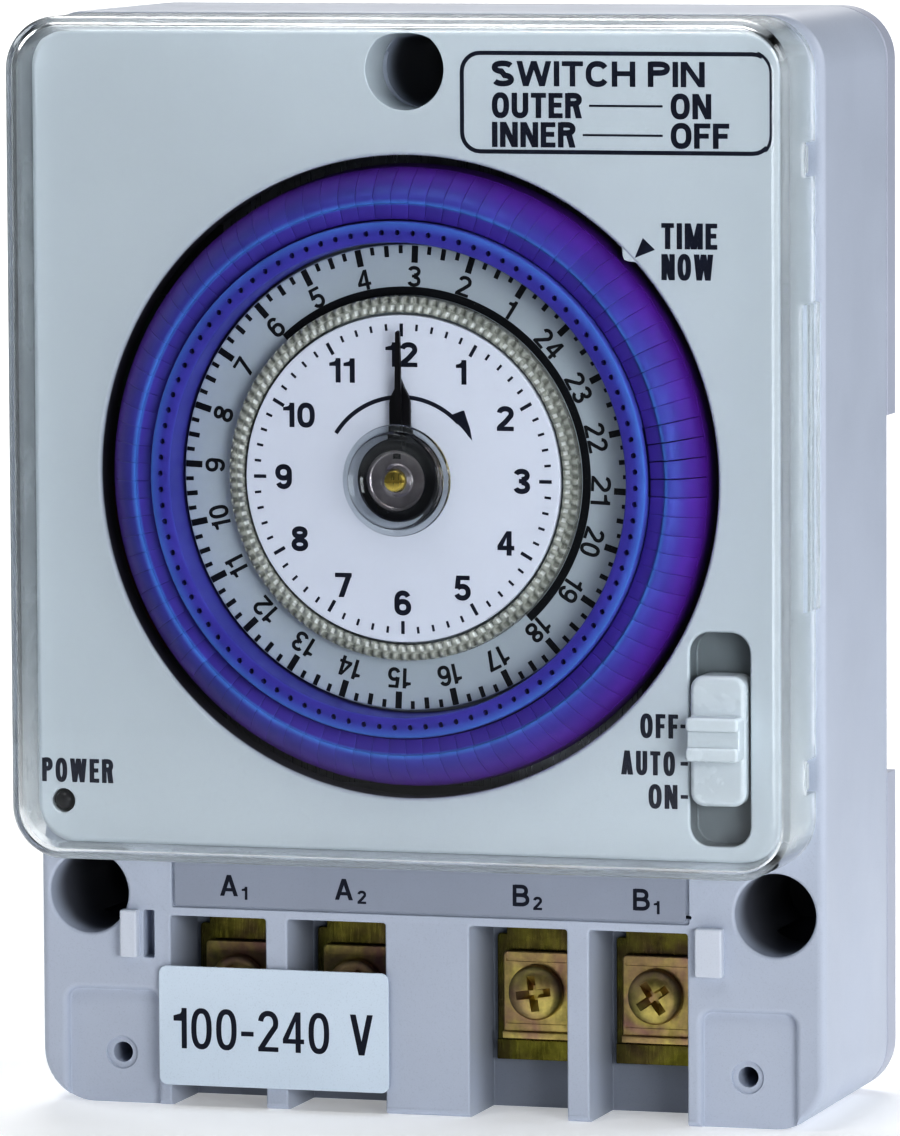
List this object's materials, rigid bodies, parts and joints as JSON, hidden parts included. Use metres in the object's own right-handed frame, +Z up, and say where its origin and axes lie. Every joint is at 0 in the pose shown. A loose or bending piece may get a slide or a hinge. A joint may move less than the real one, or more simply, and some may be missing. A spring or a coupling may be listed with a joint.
{
  "type": "programmable timer",
  "caption": "Mechanical 24-hour time switch: a segment dial turned by a clock movement trips a switch; clear hinged cover, mode slide, screw terminals, wall and rail mounting.",
  "frame": {"origin": "middle of the footprint, on the bottom face of the case", "axes": "+X to the right seen from the front, +Y from the front cover to the rear face, +Z up"},
  "size_m": [0.1, 0.0508, 0.1348],
  "materials": {
    "case_grey": "light cool grey moulded plastic, fine texture",
    "rear_grey": "light grey moulded plastic",
    "face_grey": "pale blue-grey satin plastic",
    "clear_plastic": "clear polished plastic",
    "violet_plastic": "translucent violet-blue plastic",
    "dial_print": "pale grey dial with black printed hours",
    "clock_white": "white dial with black print",
    "clear_ring": "clear knurled plastic",
    "nylon": "natural nylon",
    "black_hand": "black lacquer",
    "knob_clear": "clear moulded knob",
    "brass": "machined brass",
    "steel": "pressed steel",
    "yellow_zinc": "yellow passivated zinc plating with a pink tint",
    "slider_white": "near-white gloss plastic",
    "dark_plastic": "dark moulded plastic",
    "clip_grey": "mid grey moulded plastic",
    "red_plastic": "red moulded plastic",
    "header_print": "printed label strip",
    "label_white": "pale printed label",
    "led_dark": "dark lens",
    "pcb": "green circuit board",
    "cap_red": "dipped film capacitor",
    "battery_green": "shrink-wrapped button cells",
    "motor_metal": "plated motor can"
  },
  "bodies": {
    "case": {"base_housing": "case_grey", "rear_cover": "rear_grey", "rear_screw_1": "steel", "rear_screw_2": "steel", "face_plate": "face_grey", "cover_hinge_pin_upper": "steel", "cover_hinge_pin_lower": "steel", "header_label": "header_print", "voltage_label": "label_white", "clock_dial": "clock_white", "centre_tube": "steel", "front_plate": "steel", "rear_plate": "steel", "pillar_1": "brass", "pillar_2": "brass", "pillar_3": "brass", "motor": "motor_metal", "lever_pivot": "steel", "micro_switch": "dark_plastic", "mode_switch": "dark_plastic", "power_led": "led_dark", "circuit_board": "pcb", "capacitor": "cap_red", "backup_battery": "battery_green", "terminal_plate_1": "brass", "clamp_washer_1": "yellow_zinc", "terminal_screw_1": "yellow_zinc", "terminal_plate_2": "brass", "clamp_washer_2": "yellow_zinc", "terminal_screw_2": "yellow_zinc", "terminal_plate_3": "brass", "clamp_washer_3": "yellow_zinc", "terminal_screw_3": "yellow_zinc", "terminal_plate_4": "brass", "clamp_washer_4": "yellow_zinc", "terminal_screw_4": "yellow_zinc"},
    "cover": {"clear_cover": "clear_plastic"},
    "day": {"day_dial": "dial_print", "segment_ring": "violet_plastic", "knurled_ring": "clear_ring", "day_gear": "nylon"},
    "set_pin_1": {"set_pin_1": "violet_plastic"},
    "set_pin_2": {"set_pin_2": "violet_plastic"},
    "set_pin_3": {"set_pin_3": "violet_plastic"},
    "set_pin_4": {"set_pin_4": "violet_plastic"},
    "hour": {"hour_hand": "black_hand", "hour_wheel": "nylon"},
    "minute": {"minute_arbor": "brass", "minute_hand": "black_hand", "minute_wheel": "brass", "time_knob": "knob_clear"},
    "intermediate": {"intermediate_arbor": "brass", "intermediate_wheel": "brass"},
    "motor_rotor": {"motor_pinion": "brass"},
    "lever": {"trip_lever": "nylon"},
    "plunger": {"switch_plunger": "red_plastic"},
    "slider": {"mode_slider": "slider_white", "slider_carriage": "clip_grey"},
    "rail_clip": {"din_clip": "clip_grey"}
  },
  "joints": [
    {"name": "cover_hinge", "type": "hinge", "parent": "case", "child": "cover", "pos_m": [-0.0488, -0.01215, 0.083], "axis": [0, 0, -1], "range_deg": [0, 105]},
    {"name": "day_dial_spin", "type": "hinge", "parent": "case", "child": "day", "pos_m": [0, -0.01565, 0.079], "axis": [0, 1, 0], "continuous": true},
    {"name": "hour_spin", "type": "hinge", "parent": "case", "child": "hour", "pos_m": [0, -0.01965, 0.079], "axis": [0, 1, 0], "continuous": true},
    {"name": "minute_spin", "type": "hinge", "parent": "case", "child": "minute", "pos_m": [0, -0.01965, 0.079], "axis": [0, 1, 0], "continuous": true},
    {"name": "intermediate_spin", "type": "hinge", "parent": "case", "child": "intermediate", "pos_m": [0, -0.00265, 0.058], "axis": [0, 1, 0], "continuous": true},
    {"name": "motor_spin", "type": "hinge", "parent": "case", "child": "motor_rotor", "pos_m": [0, 0.00335, 0.1006], "axis": [0, 1, 0], "continuous": true},
    {"name": "trip_lever_pivot", "type": "hinge", "parent": "case", "child": "lever", "pos_m": [0.0332, -0.00495, 0.097], "axis": [0, 1, 0], "range_deg": [-6, 0], "stiffness_Nm_per_rad": 0.01},
    {"name": "switch_plunger_press", "type": "slide", "parent": "case", "child": "plunger", "axis": [1, 0, 0], "range_m": [0, 0.001]},
    {"name": "mode_slide", "type": "slide", "parent": "case", "child": "slider", "axis": [0, 0, 1], "range_m": [-0.0043, 0.0043]},
    {"name": "rail_clip_slide", "type": "slide", "parent": "case", "child": "rail_clip", "axis": [0, 0, -1], "range_m": [0, 0.0035], "stiffness_N_per_m": 400},
    {"name": "set_pin_1_slide", "type": "slide", "parent": "day", "child": "set_pin_1", "axis": [0.9829, 0, 0.1844], "range_m": [-0.0016, 0]},
    {"name": "set_pin_2_slide", "type": "slide", "parent": "day", "child": "set_pin_2", "axis": [0.9928, 0, 0.1197], "range_m": [-0.0016, 0]},
    {"name": "set_pin_3_slide", "type": "slide", "parent": "day", "child": "set_pin_3", "axis": [0.9985, 0, 0.0545], "range_m": [-0.0016, 0]},
    {"name": "set_pin_4_slide", "type": "slide", "parent": "day", "child": "set_pin_4", "axis": [0.9999, 0, -0.0109], "range_m": [-0.0016, 0]}
  ],
  "couplings": [
    {"joint": "hour_spin", "follows": "day_dial_spin", "ratio": 2},
    {"joint": "minute_spin", "follows": "day_dial_spin", "ratio": 24},
    {"joint": "intermediate_spin", "follows": "day_dial_spin", "ratio": -6},
    {"joint": "motor_spin", "follows": "day_dial_spin", "ratio": -120},
    {"joint": "switch_plunger_press", "follows": "trip_lever_pivot", "m_per_rad": -0.0086}
  ]
}
